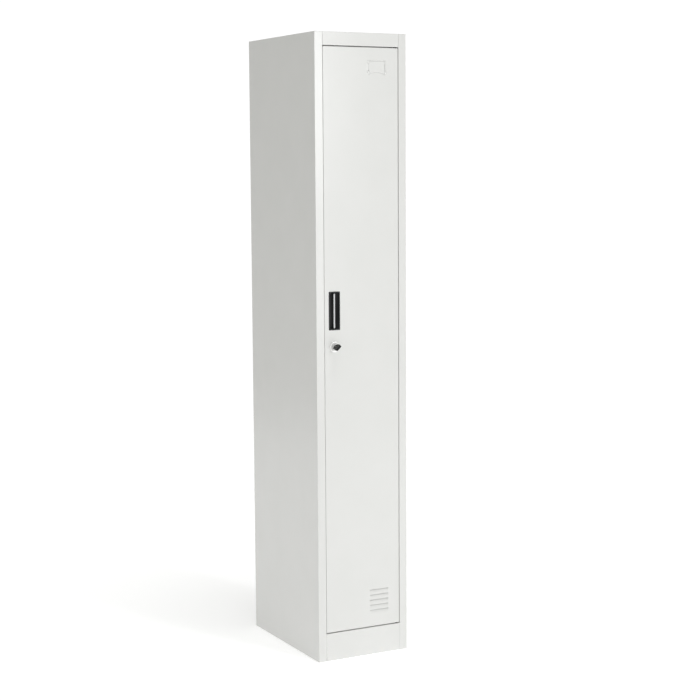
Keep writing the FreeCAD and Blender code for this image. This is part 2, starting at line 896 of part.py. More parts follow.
def handle_clip(name, end):
    """A spring clip behind the skin, at one end of the cup."""
    cup_end = handle_z + end * (handle_height / 2 - bezel_rim)
    low = min(cup_end, cup_end + end * CLIP_REACH)
    foot = doc.addObject("Part::Box", name + "_foot")
    foot.Length = 2 * CLIP_HALF
    foot.Width = CLIP_THICK
    foot.Height = CLIP_REACH
    place_box(foot, handle_x - CLIP_HALF, skin_back, low)
    leg = doc.addObject("Part::Box", name + "_leg")
    leg.Length = 2 * CLIP_HALF
    leg.Width = CLIP_REACH
    leg.Height = CLIP_THICK
    place_box(leg, handle_x - CLIP_HALF, skin_back, min(cup_end, cup_end + end * CLIP_THICK))
    whole = doc.addObject("Part::MultiFuse", name)
    whole.Shapes = [foot, leg]
    return whole


def place_box(box, x, y, z):
    box.Placement = Placement(Vector(float(x), float(y), float(z)), Rotation())
    for axis, value in zip("xyz", (x, y, z)):
        bind(box, f"Placement.Base.{axis}", value)


def handle_clips():
    return group("handle_clips", [handle_clip("lower_clip", -1), handle_clip("upper_clip", 1)])


# ---------------------------------------------------------------------------------------
# Lock
# ---------------------------------------------------------------------------------------

CREST_RADIUS = 12
DISH_DEPTH = 0.8
RING_EDGE = 0.6
NUT_THICK = 4
NUT_HALF_FLATS = 12
TANG_HALF = 3.5
KEYWAY_END = 6
KEYWAY_SLACK = 0.2
SCREW_RADIUS = 2
SCREW_REACH = 4
SCREW_HEAD_RADIUS = 5
SCREW_HEAD_THICK = 2.6
WASHER_THICK = 0.8
WASHER_RADIUS = 6


def revolve_about_lock(body, points):
    """Revolves (radius, y) points about the lock's axis."""
    sketch = sketch_on(body, "XY_Plane", lock_z)
    outline(sketch, [(lock_x + radius, along) for radius, along in points])
    axis = sketch.addGeometry(
        Part.LineSegment(
            Vector(float(lock_x), float(lock_front), 0), Vector(float(lock_x), float(front), 0)
        ),
        True,
    )
    pin_point(sketch, axis, 1, lock_x, lock_front)
    pin_point(sketch, axis, 2, lock_x, front)
    feature = body.newObject("PartDesign::Revolution", body.Label + "_turned")
    feature.Profile = sketch
    feature.ReferenceAxis = (sketch, ["Axis0"])
    feature.Angle = 360
    doc.recompute()
    return feature


def lock_housing():
    """The fixed chrome shell: a dished ring in front and the barrel through the skin."""
    body = new_body("lock_housing")
    bore = plug_radius + pin_play
    revolve_about_lock(body, [
        (bore, lock_front + DISH_DEPTH), (CREST_RADIUS, lock_front),
        (lock_face_radius - RING_EDGE, lock_front + 2 * RING_EDGE),
        (lock_face_radius, lock_front + 3 * RING_EDGE), (lock_face_radius, front),
        (barrel_radius, front), (barrel_radius, barrel_back), (bore, barrel_back),
    ])
    return body


def lock_nut():
    """The hexagonal nut that clamps the barrel to the skin."""
    body = new_body("lock_nut")
    sketch = sketch_on(body, "XZ_Plane", -skin_back)
    across = NUT_HALF_FLATS / math.cos(math.pi / 6)
    corners = []
    for corner in range(6):
        angle = corner * math.pi / 3
        offset = (across * math.cos(angle), across * math.sin(angle))
        corners.append((lock_x + offset[0], lock_z + offset[1]))
    outline(sketch, corners)
    circle(sketch, lock_x, lock_z, barrel_radius)
    pad(body, sketch, NUT_THICK, reverse=True)
    return body


def at_lock(body):
    """Places a body that is modelled about the Y axis on the lock's axis, at the key's angle."""
    body.Placement = Placement(
        Vector(float(lock_x), 0, float(lock_z)), Rotation(Vector(0, 1, 0), -float(key_angle))
    )
    bind(body, "Placement.Base.x", lock_x)
    bind(body, "Placement.Base.z", lock_z)
    body.setExpression("Placement.Rotation.Angle", f"-{key_angle.text} * 1 deg")
    return body


def lock_cylinder():
    """The plug that the key turns, with its keyway and the square tang for the cam."""
    body = new_body("lock_cylinder")
    face = lock_front + DISH_DEPTH
    disc = sketch_on(body, "XZ_Plane", -face)
    circle(disc, centre, floor_z, plug_radius)
    pad(body, disc, cam_front - face, reverse=True)
    tang = sketch_on(body, "XZ_Plane", -cam_front)
    diagonal = TANG_HALF * math.sqrt(2)
    outline(tang, [(diagonal, 0), (0, diagonal), (-diagonal, 0), (0, -diagonal)])
    pad(body, tang, cam_thick, reverse=True)
    keyway = sketch_on(body, "XZ_Plane", -face)
    across = key_width / 2 + KEYWAY_SLACK
    up = key_thick / 2 + KEYWAY_SLACK
    rectangle(keyway, (-across, -up), (across, up))
    pocket(body, keyway, barrel_back - face - KEYWAY_END + lock_proud)
    holes_back(body, cam_back - SCREW_REACH, SCREW_REACH, [(centre, floor_z)], SCREW_RADIUS)
    return at_lock(body)




def lock_cam():
    """The flat latch that swings behind the latch side's lip; it hangs down when unlocked."""
    body = new_body("lock_cam")
    half = cam_width / 2
    plate_y(body, cam_front, cam_thick, (lock_x - half, lock_z - cam_length), (lock_x + half, lock_z + half))
    corners = along_y_at(*[
        (lock_x + side * half, up)
        for side in (left, right)
        for up in (lock_z - cam_length, lock_z + half)
    ])
    round_edges(body, cam_width / 4, corners)
    hole = sketch_on(body, "XZ_Plane", -cam_front)
    rectangle(hole, (lock_x - TANG_HALF, lock_z - TANG_HALF), (lock_x + TANG_HALF, lock_z + TANG_HALF))
    pocket(body, hole, cam_thick)
    return body


def cam_washer():
    place = (lock_x, cam_back, lock_z)
    blank = turned("cam_washer_blank", place, TO_BACK, [(WASHER_RADIUS, WASHER_THICK)])
    return bored("cam_washer", blank, SCREW_RADIUS, WASHER_THICK, place, TO_BACK)


def cam_screw():
    head_back = cam_back + WASHER_THICK + SCREW_HEAD_THICK
    whole = turned("cam_screw", (lock_x, head_back, lock_z), TO_FRONT, [
        (SCREW_HEAD_RADIUS, SCREW_HEAD_THICK), (SCREW_RADIUS, WASHER_THICK + SCREW_REACH),
    ])
    whole.Label = "cam_screw"
    return whole


# ---------------------------------------------------------------------------------------
# Folding key, modelled about the Y axis with its width along X and then turned to 45 degrees
# ---------------------------------------------------------------------------------------

HEAD_CLEARANCE = 0.6
FOLD_PIN_RADIUS = 1.2
CORE_START = 5.2
CORE_INSET = 0.6
CHEEK_CORNER = 4
CHEEK_EDGE = 0.6
BLADE_TIP_GAP = 0.8
TOOTH_HALF = 0.9
TOOTH_DEPTH = 1.4
TOOTH_PITCH = 3.2
TOOTH_COUNT = 5
head_base = lock_front - HEAD_CLEARANCE
fold_y = head_base - head_width / 2
head_end = head_base - head_length
slot_half = key_thick / 2 + pin_play * 2
keyway_back = barrel_back - KEYWAY_END + lock_proud
blade_tip = keyway_back - BLADE_TIP_GAP


def key_blade():
    """The flat steel blade with its cuts, pinned in the folding head."""
    body = new_body("key_blade")
    half = key_width / 2
    sketch = sketch_on(body, "XY_Plane")
    points = [(-half, fold_y), (-half, blade_tip - half / 2), (-half / 2, blade_tip)]
    points += [(half / 2, blade_tip), (half, blade_tip - half / 2)]
    for tooth in range(TOOTH_COUNT):
        middle = blade_tip - half - tooth * TOOTH_PITCH
        points += [(half, middle + TOOTH_HALF), (half - TOOTH_DEPTH, middle), (half, middle - TOOTH_HALF)]
    points += [(half, fold_y)]
    outline(sketch, points)
    pad(body, sketch, key_thick, midplane=True)
    eye = sketch_on(body, "XY_Plane")
    circle(eye, centre, fold_y, half)
    pad(body, eye, key_thick, midplane=True)
    hole = sketch_on(body, "XY_Plane", key_thick / 2)
    circle(hole, centre, fold_y, FOLD_PIN_RADIUS + pin_play)
    pocket(body, hole, key_thick)
    return at_lock(body)


def key_cheek(label, side):
    """One plastic half of the key's head, on one side of the blade."""
    body = new_body(label)
    half = head_width / 2
    thickness = head_thick / 2 - slot_half
    offset = slot_half if side == right else -(head_thick / 2)
    plate_z(body, offset, thickness, (-half, head_end), (half, fold_y))
    corners = along_z_at((-half, head_end), (half, head_end))
    round_edges(body, CHEEK_CORNER, corners)
    knuckle = sketch_on(body, "XY_Plane", offset)
    circle(knuckle, centre, fold_y, half)
    pad(body, knuckle, thickness)
    if side == left:
        core_half = half - CORE_INSET - CHEEK_CORNER / 2
        low = (-core_half, head_end + CORE_INSET)
        high = (core_half, fold_y - CORE_START)
        plate_z(body, -slot_half, 2 * slot_half, low, high)
    hole = sketch_on(body, "XY_Plane", offset + thickness)
    circle(hole, centre, fold_y, FOLD_PIN_RADIUS)
    pocket(body, hole, thickness)
    return at_lock(body)


def key_fold_pin():
    """The pin that joins the blade's eye to both cheeks."""
    body = new_body("key_fold_pin")
    sketch = sketch_on(body, "XY_Plane")
    circle(sketch, centre, fold_y, FOLD_PIN_RADIUS)
    pad(body, sketch, head_thick, midplane=True)
    return at_lock(body)


# ---------------------------------------------------------------------------------------
# The whole locker
# ---------------------------------------------------------------------------------------


def build():
    """Makes every piece and returns them; each Label is its node's name."""
    return [
        side_panel("side_panel_left", left),
        side_panel("side_panel_right", right),
        back_panel(),
        top_panel(),
        bottom_panel(),
        plinth(),
        back_panel_rivets(),
        hat_shelf(),
        shelf_support("shelf_support_left", left),
        shelf_support("shelf_support_right", right),
        rail_bracket("rail_bracket_left", left),
        rail_bracket("rail_bracket_right", right),
        rail_bracket_rivets(),
        coat_rail(),
        door_buffers(),
        pivot_pin("pivot_pin_top", rail_bottom + sheet + PIN_HEAD_THICK, DOWN),
        pivot_pin("pivot_pin_bottom", plinth_height - sheet - PIN_HEAD_THICK, UP),
        pivot_bush("pivot_bush_top", door_top + thrust_flange, DOWN),
        pivot_bush("pivot_bush_bottom", door_bottom - thrust_flange, UP),
        door_panel(),
        door_stiffener(),
        handle_cup(),
        handle_grip(),
        handle_strip(),
        handle_clips(),
        lock_housing(),
        lock_nut(),
        lock_cylinder(),
        lock_cam(),
        cam_washer(),
        cam_screw(),
        key_blade(),
        key_cheek("key_head_lower", left),
        key_cheek("key_head_upper", right),
        key_fold_pin(),
    ]


def check(pieces):
    """Stops if any object failed, or any piece has no valid closed shape."""
    for item in doc.Objects:
        if "Invalid" in item.State or "Error" in item.State:
            raise RuntimeError(f"{item.Label} failed: {item.State}")
    labels = [piece.Label for piece in pieces]
    if len(set(labels)) != len(labels):
        raise RuntimeError("two pieces share a name")
    for piece in pieces:
        if piece.Shape.isNull() or not piece.Shape.isValid() or not piece.Shape.Solids:
            raise RuntimeError(f"{piece.Label} has no valid solid")


pieces = build()
doc.recompute()
check(pieces)
os.makedirs("parts", exist_ok=True)
for piece in pieces:
    piece.Shape.exportStep(f"parts/{piece.Label}.step")
print(len(pieces), "pieces written")
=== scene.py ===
"""The looks of a slim steel locker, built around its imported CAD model."""

import math

import bmesh
import bpy
from mathutils import Matrix, Vector
from mathutils.geometry import delaunay_2d_cdt


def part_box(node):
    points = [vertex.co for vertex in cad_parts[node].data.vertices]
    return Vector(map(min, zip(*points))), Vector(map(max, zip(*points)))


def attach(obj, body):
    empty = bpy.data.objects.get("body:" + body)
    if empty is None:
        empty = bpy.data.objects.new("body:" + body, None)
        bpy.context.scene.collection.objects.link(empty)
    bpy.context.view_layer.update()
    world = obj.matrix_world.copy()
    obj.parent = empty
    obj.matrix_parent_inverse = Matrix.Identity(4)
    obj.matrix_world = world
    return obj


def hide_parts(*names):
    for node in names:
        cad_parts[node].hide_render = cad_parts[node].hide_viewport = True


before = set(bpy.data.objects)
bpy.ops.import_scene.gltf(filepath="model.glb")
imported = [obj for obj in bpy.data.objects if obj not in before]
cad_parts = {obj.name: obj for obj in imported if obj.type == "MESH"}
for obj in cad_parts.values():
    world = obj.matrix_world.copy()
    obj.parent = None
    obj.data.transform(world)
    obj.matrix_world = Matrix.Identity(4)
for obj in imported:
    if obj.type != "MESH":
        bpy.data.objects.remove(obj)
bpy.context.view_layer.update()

MM = 0.001
SHEET = 0.8 * MM
WELD = 0.002 * MM
HALF_TURN = math.pi
QUARTER = math.pi / 2

# ---------------------------------------------------------------------------------------
# Places, from the frame
# ---------------------------------------------------------------------------------------


class Box:
    """The rest box of a CAD node."""

    def __init__(self, node):
        low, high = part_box(node)
        self.left, self.front, self.bottom = low
        self.right, self.back, self.top = high
        self.x = (self.left + self.right) / 2
        self.y = (self.front + self.back) / 2
        self.z = (self.bottom + self.top) / 2
        self.width = self.right - self.left
        self.height = self.top - self.bottom


carcass = Box("top_panel")
door = Box("door_panel")
plinth = Box("plinth")
pull = Box("handle_cup")
grip = Box("handle_grip")
strip = Box("handle_strip")
ring = Box("lock_housing")
rail = Box("coat_rail")
FRONT = carcass.front

# ---------------------------------------------------------------------------------------
# Procedural materials
# ---------------------------------------------------------------------------------------

RAMP_START = 0.3
RAMP_END = 0.7


class Finish:
    """A principled material whose pattern is made of nodes in object space, in metres."""

    def __init__(self, slot, colour, roughness, metallic=0.0):
        self.material = bpy.data.materials.new(slot + "_look")
        self.material.use_nodes = True
        self.tree = self.material.node_tree
        self.shader = self.tree.nodes["Principled BSDF"]
        self.shader.inputs["Base Color"].default_value = (*colour, 1.0)
        self.shader.inputs["Roughness"].default_value = roughness
        self.shader.inputs["Metallic"].default_value = metallic
        self.normal = None

    def node(self, kind, **inputs):
        made = self.tree.nodes.new(kind)
        for name, value in inputs.items():
            made.inputs[name.replace("_", " ")].default_value = value
        return made

    def link(self, source, target):
        self.tree.links.new(source, target)

    def place(self, stretch=(1.0, 1.0, 1.0)):
        """Object coordinates, scaled per axis."""
        where = self.node("ShaderNodeTexCoord")
        mapping = self.node("ShaderNodeMapping")
        mapping.inputs["Scale"].default_value = stretch
        self.link(where.outputs["Object"], mapping.inputs["Vector"])
        return mapping.outputs["Vector"]

    def noise(self, size, detail=2.0, stretch=(1.0, 1.0, 1.0)):
        """Noise whose blobs are about size metres across."""
        made = self.node("ShaderNodeTexNoise", Scale=1.0 / size, Detail=detail)
        self.link(self.place(stretch), made.inputs["Vector"])
        return made.outputs["Fac"]

    def cells(self, size):
        """Crystal-like cells of about size metres, each with its own value."""
        made = self.node("ShaderNodeTexVoronoi", Scale=1.0 / size)
        self.link(self.place(), made.inputs["Vector"])
        grey = self.node("ShaderNodeRGBToBW")
        self.link(made.outputs["Color"], grey.inputs["Color"])
        return grey.outputs["Val"]

    def depth(self, near, far):
        """From 0 at the depth near to 1 at the depth far, front to back."""
        split = self.node("ShaderNodeSeparateXYZ")
        self.link(self.place(), split.inputs["Vector"])
        span = self.node("ShaderNodeMapRange", From_Min=near, From_Max=far)
        self.link(split.outputs["Y"], span.inputs["Value"])
        return span.outputs["Result"]

    def vary_roughness(self, pattern, low, high):
        spread = self.node("ShaderNodeMapRange", To_Min=low, To_Max=high)
        self.link(pattern, spread.inputs["Value"])
        self.link(spread.outputs["Result"], self.shader.inputs["Roughness"])

    def vary_colour(self, pattern, first, second):
        ramp = self.node("ShaderNodeValToRGB")
        ends = ramp.color_ramp.elements
        ends[0].position, ends[0].color = RAMP_START, (*first, 1.0)
        ends[1].position, ends[1].color = RAMP_END, (*second, 1.0)
        self.link(pattern, ramp.inputs["Fac"])
        self.link(ramp.outputs["Color"], self.shader.inputs["Base Color"])

    def bump(self, pattern, depth):
        """Adds a relief of that depth, in metres, over any relief added before."""
        relief = self.node("ShaderNodeBump", Distance=depth)
        self.link(pattern, relief.inputs["Height"])
        if self.normal is not None:
            self.link(self.normal, relief.inputs["Normal"])
        self.normal = relief.outputs["Normal"]
        self.link(self.normal, self.shader.inputs["Normal"])


def body_paint():
    """Off-white powder coat: fine orange peel over a faint, wide unevenness."""
    finish = Finish("body_paint", (0.8, 0.8, 0.785), 0.23)
    finish.vary_colour(finish.noise(90 * MM, 3.0), (0.795, 0.797, 0.782), (0.81, 0.81, 0.797))
    finish.vary_roughness(finish.noise(12 * MM, 3.0), 0.2, 0.26)
    finish.bump(finish.noise(260 * MM, 1.0), 0.5 * MM)
    finish.bump(finish.noise(1.6 * MM, 2.0), 0.012 * MM)
    return finish.material


def handle_black():
    """Black moulded plastic with a fine spark-eroded grain; painted light makes its colour lighter
    deep in the recess, lifting the recess's shade.
    """
    finish = Finish("handle_black", (0.015, 0.015, 0.017), 0.5)
    # Painted light: the base colour grows lighter from the cup's front to its back, standing in for
    # light deep in the recess
    finish.vary_colour(finish.depth(FRONT, pull.back), (0.015, 0.015, 0.017), (0.11, 0.11, 0.115))
    finish.vary_roughness(finish.noise(3 * MM, 3.0), 0.42, 0.58)
    finish.bump(finish.noise(0.35 * MM, 3.0), 0.02 * MM)
    return finish.material


def grip_black():
    """Black moulded plastic, polished."""
    finish = Finish("grip_black", (0.005, 0.005, 0.0055), 0.22)
    finish.shader.inputs["Specular IOR Level"].default_value = 0.1
    finish.vary_colour(finish.noise(12 * MM, 3.0), (0.004, 0.004, 0.0045), (0.006, 0.006, 0.007))
    finish.vary_roughness(finish.noise(2 * MM, 4.0), 0.18, 0.3)
    finish.bump(finish.noise(4 * MM, 2.0), 0.01 * MM)
    return finish.material


def strip_silver():
    """Satin silver trim, brushed along its length."""
    finish = Finish("strip_silver", (0.56, 0.56, 0.57), 0.5, 1.0)
    brushed = finish.noise(0.25 * MM, 4.0, (1.0, 1.0, 0.02))
    finish.vary_colour(brushed, (0.52, 0.52, 0.53), (0.6, 0.6, 0.61))
    finish.vary_roughness(brushed, 0.44, 0.56)
    finish.bump(brushed, 0.004 * MM)
    return finish.material


def lock_chrome():
    """Satin chrome plate with faint handling haze."""
    finish = Finish("lock_chrome", (0.93, 0.93, 0.92), 0.35, 0.3)
    finish.vary_roughness(finish.noise(2.5 * MM, 4.0), 0.3, 0.4)
    finish.bump(finish.noise(6 * MM, 1.0), 0.01 * MM)
    return finish.material


def zinc_steel():
    """Bright zinc plate with its small crystals and a slight blue and yellow cast."""
    finish = Finish("zinc_steel", (0.66, 0.67, 0.69), 0.38, 1.0)
    crystals = finish.cells(1.4 * MM)
    finish.vary_colour(crystals, (0.6, 0.62, 0.66), (0.74, 0.73, 0.69))
    finish.vary_roughness(crystals, 0.28, 0.5)
    finish.bump(finish.noise(0.5 * MM, 3.0), 0.006 * MM)
    return finish.material


def rivet_aluminium():
    """Plain aluminium, dulled by setting and handling."""
    finish = Finish("rivet_aluminium", (0.76, 0.77, 0.78), 0.42, 1.0)
    finish.vary_colour(finish.noise(1.5 * MM, 3.0), (0.68, 0.69, 0.7), (0.82, 0.82, 0.83))
    finish.vary_roughness(finish.noise(0.8 * MM, 3.0), 0.34, 0.55)
    finish.bump(finish.noise(0.3 * MM, 3.0), 0.008 * MM)
    return finish.material


def rail_chrome():
    """A bright plated tube, polished round its length."""
    finish = Finish("rail_chrome", (0.8, 0.8, 0.82), 0.15, 1.0)
    polished = finish.noise(0.5 * MM, 3.0, (1.0, 0.05, 0.05))
    finish.vary_roughness(polished, 0.1, 0.24)
    finish.bump(polished, 0.003 * MM)
    return finish.material


def bush_nylon():
    """Black glass-filled nylon, slightly mottled."""
    finish = Finish("bush_nylon", (0.02, 0.02, 0.02), 0.5)
    finish.vary_colour(finish.noise(3 * MM, 3.0), (0.016, 0.016, 0.017), (0.03, 0.03, 0.031))
    finish.vary_roughness(finish.noise(1 * MM, 2.0), 0.42, 0.6)
    finish.bump(finish.noise(0.4 * MM, 2.0), 0.01 * MM)
    return finish.material


def buffer_rubber():
    """Soft black rubber with a dusty bloom."""
    finish = Finish("buffer_rubber", (0.03, 0.03, 0.03), 0.75)
    finish.vary_colour(finish.noise(1.2 * MM, 4.0), (0.022, 0.022, 0.022), (0.05, 0.05, 0.048))
    finish.vary_roughness(finish.noise(0.8 * MM, 3.0), 0.65, 0.9)
    finish.bump(finish.noise(0.25 * MM, 3.0), 0.02 * MM)
    return finish.material


def key_steel():
    """Nickel-plated steel with the milling marks of a cut key."""
    finish = Finish("key_steel", (0.72, 0.71, 0.68), 0.25, 1.0)
    milled = finish.noise(0.3 * MM, 3.0, (1.0, 0.05, 1.0))
    finish.vary_colour(milled, (0.66, 0.65, 0.62), (0.78, 0.77, 0.74))
    finish.vary_roughness(milled, 0.18, 0.36)
    finish.bump(milled, 0.004 * MM)
    return finish.material


def key_black():
    """Black moulded plastic, handled to a slight gloss."""
    finish = Finish("key_black", (0.009, 0.009, 0.0095), 0.28)
    finish.shader.inputs["Specular IOR Level"].default_value = 0.25
    finish.vary_colour(finish.noise(5 * MM, 3.0), (0.007, 0.007, 0.0075), (0.012, 0.012, 0.0125))
    finish.vary_roughness(finish.noise(2 * MM, 4.0), 0.22, 0.42)
    finish.bump(finish.noise(0.3 * MM, 2.0), 0.012 * MM)
    return finish.material


FINISHES = (
    body_paint, handle_black, grip_black, strip_silver, lock_chrome, zinc_steel, rivet_aluminium,
    rail_chrome, bush_nylon, buffer_rubber, key_steel, key_black,
)
looks = {finish.__name__: finish() for finish in FINISHES}

# ---------------------------------------------------------------------------------------
# Mesh tools
# ---------------------------------------------------------------------------------------

INNER_FACES_ONLY = 1
SHARP_ANGLE = math.radians(32)
CREASE_ANGLE = math.radians(40)
FLAT_FACE_WEIGHT = 100
BULGE_POWER = 2.5


class Surface:
    """Collects faces by the places of their corners; equal places become one vertex."""

    def __init__(self):
        self.points = []
        self.faces = []

    def add(self, points, faces):
        first = len(self.points)
        self.points.extend(points)
        self.faces.extend(tuple(first + index for index in face) for face in faces)

    def strip_between(self, first, second, closed=True):
        """Quads between two equal rows of points."""
        count = len(first)
        steps = range(count if closed else count - 1)
        faces = [(i, (i + 1) % count, count + (i + 1) % count, count + i) for i in steps]
        self.add([*first, *second], faces)

    def cap(self, loop):
        """One face across a flat or slightly domed loop."""
        self.add(loop, [tuple(range(len(loop)))])

    def mesh(self, name):
        made = bpy.data.meshes.new(name)
        made.from_pydata(self.points, [], self.faces)
        work = bmesh.new()
        work.from_mesh(made)
        bmesh.ops.remove_doubles(work, verts=work.verts, dist=WELD)
        bmesh.ops.dissolve_degenerate(work, dist=WELD / 2, edges=work.edges)
        bmesh.ops.recalc_face_normals(work, faces=work.faces)
        work.to_mesh(made)
        work.free()
        made.shade_smooth()
        return made


def loft(name, loops):
    """A closed solid through equal loops, capped at both ends."""
    surface = Surface()
    for first, second in zip(loops, loops[1:]):
        surface.strip_between(first, second)
    surface.cap(loops[0])
    surface.cap(loops[-1])
    return surface.mesh(name)


def tube(name, loops):
    """A closed solid whose last loop joins its first one, such as a ring."""
    surface = Surface()
    for index, loop in enumerate(loops):
        surface.strip_between(loop, loops[(index + 1) % len(loops)])
    return surface.mesh(name)


def arc(start, end, steps):
    """Angles from start to end."""
    return [start + (end - start) * step / steps for step in range(steps + 1)]


def rounded(half_across, half_up, radius, steps=6):
    """A rounded rectangle about the origin, as (across, up) points."""
    points = []
    for quarter, (side, end) in enumerate(((1, 1), (-1, 1), (-1, -1), (1, -1))):
        for angle in arc(quarter * QUARTER, (quarter + 1) * QUARTER, steps):
            across = side * (half_across - radius) + radius * math.cos(angle)
            up = end * (half_up - radius) + radius * math.sin(angle)
            points.append((across, up))
    return points


def facing(loop, x, y, z):
    """A loop of (across, up) points as upright points about (x, z), at depth y."""
    return [Vector((x + across, y, z + up)) for across, up in loop]


def circle(radius, steps=48):
    """A circle about the origin, as (across, up) points."""
    angles = arc(0, 2 * HALF_TURN, steps)[:-1]
    return [(radius * math.cos(angle), radius * math.sin(angle)) for angle in angles]


def inside(point, loop):
    """Whether a flat point lies inside a loop."""
    across, up = point
    crossings = 0
    for index, (x1, y1) in enumerate(loop):
        x2, y2 = loop[(index + 1) % len(loop)]
        if (y1 > up) != (y2 > up) and across < x1 + (up - y1) * (x2 - x1) / (y2 - y1):
            crossings += 1
    return crossings % 2 == 1


def flat_region(outline, holes):
    """Triangles that fill an outline around its holes: ((across, up) points, faces)."""
    points = []
    edges = []
    for loop in (outline, *holes):
        first = len(points)
        count = len(loop)
        points.extend(Vector(place) for place in loop)
        edges.extend((first + i, first + (i + 1) % count) for i in range(count))
    made = delaunay_2d_cdt(points, edges, [], INNER_FACES_ONLY, WELD / 10)
    places, faces = made[0], made[2]
    kept = []
    for face in faces:
        middle = sum((places[index] for index in face), Vector((0, 0))) / len(face)
        if not any(inside(middle, hole) for hole in holes):
            kept.append(face)
    return places, kept


def grid_between(start, end, step):
    """Evenly spaced values from start to end, about a step apart."""
    count = max(1, round((end - start) / step))
    return [start + (end - start) * index / count for index in range(count + 1)]


def grid_outline(xs, zs):
    """The border of a grid, with every grid point on it."""
    low = [(x, zs[0]) for x in xs]
    right = [(xs[-1], z) for z in zs[1:]]
    high = [(x, zs[-1]) for x in reversed(xs[:-1])]
    left = [(xs[0], z) for z in reversed(zs[1:-1])]
    return low + right + high + left


def add_grid(surface, xs, zs, point, keep=None):
    """A grid of quads; point(x, z) gives each place and keep(x, z) the cells to keep."""
    for x1, x2 in zip(xs, xs[1:]):
        for z1, z2 in zip(zs, zs[1:]):
            if keep is None or keep((x1 + x2) / 2, (z1 + z2) / 2):
                corners = [point(x1, z1), point(x2, z1), point(x2, z2), point(x1, z2)]
                surface.add(corners, [(0, 1, 2, 3)])


def ease(distance, width):
    """A smooth step from 0 to 1 as the distance goes from 0 to width."""
    share = min(max(distance / width, 0.0), 1.0)
    return share * share * (3 - 2 * share)


def bulge(across, up, half_across, half_up):
    """A smooth bump from 1 in its middle to 0 at its rounded edge."""
    share = (abs(across) / half_across) ** BULGE_POWER + (abs(up) / half_up) ** BULGE_POWER
    return math.cos(QUARTER * share) ** 2 if share < 1.0 else 0.0


def add_piece(name, mesh, body, slot, *nodes):
    """Shows a mesh as a piece that rides on a body, in place of CAD nodes."""
    piece = bpy.data.objects.new(name, mesh)
    bpy.context.scene.collection.objects.link(piece)
    mesh.materials.clear()
    mesh.materials.append(looks[slot])
    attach(piece, body)
    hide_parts(*nodes)
    return piece


def round_edges(piece, width, segments=2):
    """Rounds the sharp edges and keeps the flat faces flat."""
    bevel = piece.modifiers.new("rounded_edges", "BEVEL")
    bevel.width = width
    bevel.segments = segments
    bevel.limit_method = "ANGLE"
    bevel.angle_limit = SHARP_ANGLE
    bevel.use_clamp_overlap = True
    keep_flats_flat(piece)


def keep_flats_flat(piece):
    """Shades by the largest faces, so that a bend doesn't shade the flat beside it."""
    weighted = piece.modifiers.new("flat_faces", "WEIGHTED_NORMAL")
    weighted.weight = FLAT_FACE_WEIGHT
    weighted.keep_sharp = True


# ---------------------------------------------------------------------------------------
# Refined CAD pieces
# ---------------------------------------------------------------------------------------

STILE = 25 * MM
STILE_SKIN = 1.5 * SHEET
STILE_LEAN = math.tan(math.radians(2.0))
STILES = {"side_panel_left": -1, "side_panel_right": 1}
RAILS = ("top_panel", "plinth")
JOINT_OPEN = 0.35 * MM
MERGE_ANGLE = math.radians(0.5)


def lean_stile(work, side):
    """Turns the front of a side panel back a little, as its fold springs open."""
    inner = carcass.right - STILE
    for vertex in work.verts:
        if vertex.co.y < FRONT + STILE_SKIN:
            vertex.co.y += max(side * vertex.co.x - inner, 0.0) * STILE_LEAN


def open_joints(work):
    """Draws the ends of a rail in between the stiles, so that its joints show as fine lines."""
    for vertex in work.verts:
        if abs(abs(vertex.co.x) - plinth.right) < WELD:
            vertex.co.x -= math.copysign(JOINT_OPEN, vertex.co.x)


def refined(node, body, slot, edge, segments=2):
    """A copy of a CAD node's shape with its cut edges rounded, which takes the node's place."""
    work = bmesh.new()
    work.from_mesh(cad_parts[node].data)
    if node in STILES:
        lean_stile(work, STILES[node])
    if node in RAILS:
        open_joints(work)
    bmesh.ops.remove_doubles(work, verts=work.verts, dist=WELD)
    bmesh.ops.dissolve_limit(work, angle_limit=MERGE_ANGLE, verts=work.verts, edges=work.edges)
    bmesh.ops.recalc_face_normals(work, faces=work.faces)
    mesh = bpy.data.meshes.new(node + "_fine")
    work.to_mesh(mesh)
    work.free()
    mesh.shade_smooth()
    round_edges(add_piece(node + "_fine", mesh, body, slot, node), edge, segments)


# ---------------------------------------------------------------------------------------
# Door skin
# ---------------------------------------------------------------------------------------

BEND = 1.4 * MM
BEND_STEPS = 6
LATCH_REACH = 0.9 * MM
PAN_CORNER = 2.0 * MM
CORNER_SHRINK = 0.9
DOOR_RETURN = 12 * MM
GRID = 1.0 * MM
FINE_GRID = 0.75 * MM
PULL_LAP = 2.2 * MM
PULL_HOLE_CORNER = 1.5 * MM
LOCK_HOLE = 9.4 * MM

VENT_COUNT = 5
VENT_LENGTH = 63 * MM
VENT_PITCH = 15.6 * MM
VENT_TALL = 11 * MM
VENT_DEPTH = 2.4 * MM
VENT_CURVE = 1.5
VENT_END = 2.2 * MM
VENT_MARGIN = 2 * MM
VENT_FROM_EDGE = 37.8 * MM
VENT_FROM_BOTTOM = 49.5 * MM
SLIT_HALF = 0.55 * MM

CARD_FROM_EDGE = 70.8 * MM
CARD_FROM_TOP = 56.5 * MM
CARD_HALF_WIDTH = 26.6 * MM
CARD_SLIT = 0.6 * MM
CARD_SLIT_HALF = 12.5 * MM
CARD_GROOVE = 1.25 * MM
CARD_GROOVE_HALF = 1.8 * MM
CARD_TOP = 18.5 * MM
CARD_FOOT = -14.5 * MM
CARD_ARCH = 6.5 * MM
CARD_EAR = 1.7 * MM
CARD_EAR_UP = 14.5 * MM
CARD_EAR_HALF = 5 * MM
CARD_EAR_OUT = 1.2
CARD_EAR_IN = 0.7
CARD_EAR_ENDS = (-1, 1)
CARD_STRAP = 0.5 * MM
CARD_MARGIN = 12 * MM

vent_right = door.right - VENT_FROM_EDGE
vent_left = vent_right - VENT_LENGTH
card_x = door.right - CARD_FROM_EDGE
card_z = door.top - CARD_FROM_TOP


